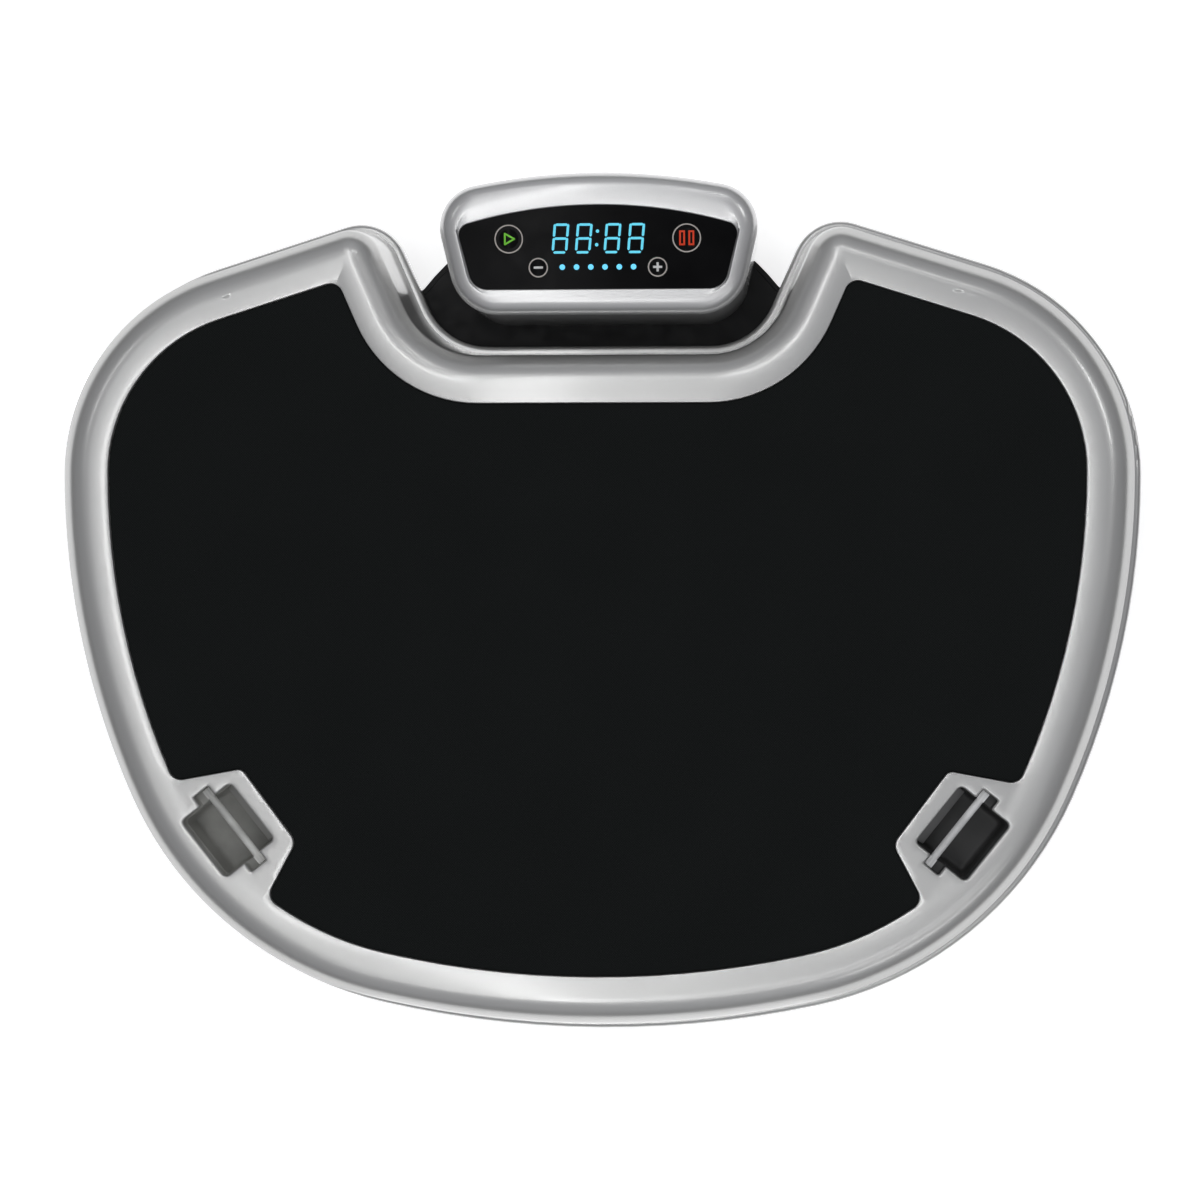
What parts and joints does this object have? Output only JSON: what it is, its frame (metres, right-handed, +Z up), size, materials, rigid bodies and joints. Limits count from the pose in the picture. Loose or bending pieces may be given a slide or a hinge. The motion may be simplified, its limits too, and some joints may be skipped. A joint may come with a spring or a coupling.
{
  "type": "vibration plate",
  "caption": "Low vibration plate with a rounded notched deck, dark anti-slip mat, raised front console and recessed strap anchors.",
  "frame": {"origin": "on the floor under the middle of the machine's width and depth", "axes": "+X to the user's right, +Y forward to the console, +Z up"},
  "size_m": [0.6816, 0.5316, 0.1487],
  "materials": {
    "silver_shell": "metallic silver paint over ABS, satin gloss",
    "silver_console": "metallic silver paint over ABS, gloss",
    "grey_housing": "grey metallic paint over ABS",
    "black_plastic": "fine moulded texture",
    "mat_rubber": "fine woven-look anti-slip surface",
    "black_glass": "gloss black acrylic",
    "key_cap": "gloss black, dished",
    "cup_light": "silver-grey moulding",
    "cup_dark": "charcoal moulding",
    "bar_light": "silver-grey painted rod",
    "bar_steel": "bright zinc-plated rod",
    "frame_steel": "black powder coat",
    "motor_steel": "dark grey paint",
    "cast_alloy": "as cast",
    "bright_steel": "turned",
    "zinc_screw": "zinc plated",
    "black_screw": "black oxide",
    "copper_winding": "lacquered copper and iron laminations",
    "black_rubber": "moulded rubber",
    "circuit_board": "green solder mask",
    "component_body": "moulded components",
    "display_face": "cyan segments under a dark face",
    "lamp_blue": "blue-white lamps",
    "lead_sheath": "PVC sheath"
  },
  "bodies": {
    "base": {"base_pan": "black_plastic", "base_screws": "zinc_screw", "board_components": "component_body", "chassis_frame": "frame_steel", "console_bezel": "silver_console", "console_housing": "grey_housing", "console_panel": "black_glass", "controller_board": "circuit_board", "cover_screws": "black_screw", "digit_module": "display_face", "display_board": "circuit_board", "display_lead": "lead_sheath", "foot_bolts": "zinc_screw", "foot_front_left": "black_rubber", "foot_front_right": "black_rubber", "foot_rear_left": "black_rubber", "foot_rear_right": "black_rubber", "heat_sink": "cast_alloy", "indicator_lamps": "lamp_blue", "isolator_front_left": "black_rubber", "isolator_front_right": "black_rubber", "isolator_rear_left": "black_rubber", "isolator_rear_right": "black_rubber", "isolator_studs": "zinc_screw", "mains_leads": "lead_sheath", "nose_cover": "black_plastic", "power_inlet": "black_plastic", "switch_body": "black_plastic", "tact_switches": "component_body"},
    "deck": {"deck_corner_left": "silver_shell", "deck_corner_right": "silver_shell", "deck_mat": "mat_rubber", "deck_plate": "frame_steel", "deck_screws": "zinc_screw", "deck_shell": "silver_shell", "deck_skirt": "silver_shell", "end_bell_left": "cast_alloy", "end_bell_right": "cast_alloy", "isolator_bolts": "zinc_screw", "motor_bands": "bright_steel", "motor_bearings": "bright_steel", "motor_housing": "motor_steel", "motor_saddles": "cast_alloy", "saddle_bolts": "zinc_screw", "skirt_screws": "zinc_screw", "stator": "copper_winding", "strap_bar_left": "bar_light", "strap_bar_right": "bar_steel", "strap_cup_left": "cup_light", "strap_cup_right": "cup_dark", "weight_guards": "black_plastic"},
    "rotor": {"eccentric_left": "bright_steel", "eccentric_right": "bright_steel", "rotor_core": "copper_winding", "rotor_shaft": "bright_steel"},
    "play_key": {"play_key": "key_cap"},
    "pause_key": {"pause_key": "key_cap"},
    "minus_key": {"minus_key": "key_cap"},
    "plus_key": {"plus_key": "key_cap"},
    "rocker": {"rocker_cap": "black_plastic"}
  },
  "joints": [
    {"name": "deck_bounce", "type": "slide", "parent": "base", "child": "deck", "axis": [0, 0, 1], "range_m": [-0.002, 0.002], "stiffness_N_per_m": 60000, "springref_m": 0.00216, "deforming": ["isolator_front_left", "isolator_front_right", "isolator_rear_left", "isolator_rear_right"]},
    {"name": "rotor_spin", "type": "hinge", "parent": "deck", "child": "rotor", "pos_m": [0, 0, 0.062], "axis": [1, 0, 0], "continuous": true},
    {"name": "play_press", "type": "slide", "parent": "base", "child": "play_key", "axis": [0, -0.1736, 0.9848], "range_m": [-0.0008, 0], "stiffness_N_per_m": 700},
    {"name": "pause_press", "type": "slide", "parent": "base", "child": "pause_key", "axis": [0, -0.1736, 0.9848], "range_m": [-0.0008, 0], "stiffness_N_per_m": 700},
    {"name": "minus_press", "type": "slide", "parent": "base", "child": "minus_key", "axis": [0, -0.1736, 0.9848], "range_m": [-0.0008, 0], "stiffness_N_per_m": 700},
    {"name": "plus_press", "type": "slide", "parent": "base", "child": "plus_key", "axis": [0, -0.1736, 0.9848], "range_m": [-0.0008, 0], "stiffness_N_per_m": 700},
    {"name": "power_rock", "type": "hinge", "parent": "base", "child": "rocker", "pos_m": [0.026, 0.253, 0.0265], "axis": [0, 0, 1], "range_deg": [0, 14]}
  ]
}
